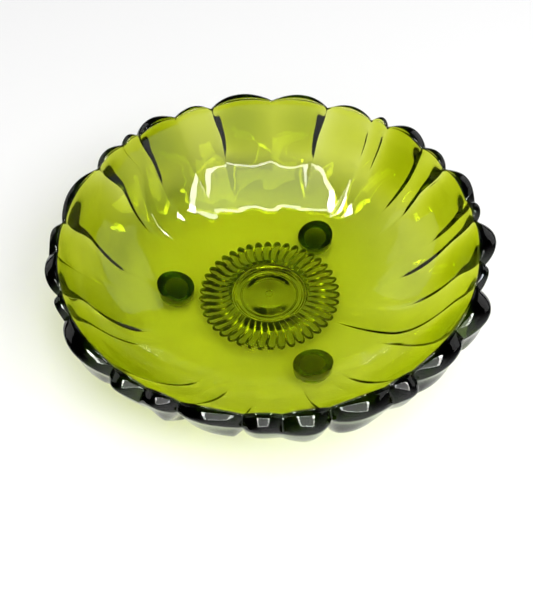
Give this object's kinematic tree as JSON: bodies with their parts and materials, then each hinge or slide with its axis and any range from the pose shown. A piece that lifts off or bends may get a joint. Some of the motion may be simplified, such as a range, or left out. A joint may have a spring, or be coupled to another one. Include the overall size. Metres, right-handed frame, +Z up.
{
  "type": "glass dish",
  "caption": "Round green pressed-glass dish on toe feet, its scalloped wall moulded as overlapping flower petals with a sunburst under the floor.",
  "frame": {"origin": "on the table, under the middle of the dish's outline", "axes": "+Z up out of the dish's mouth, -Y towards the viewer, +X to the viewer's right"},
  "size_m": [0.2168, 0.2278, 0.0649],
  "materials": {
    "green_glass": "fire-polished transparent avocado-green glass"
  },
  "bodies": {
    "root": {"bowl_body": "green_glass", "sunburst": "green_glass", "centre_boss": "green_glass", "foot_left": "green_glass", "foot_back_right": "green_glass", "foot_front_right": "green_glass"}
  },
  "joints": []
}
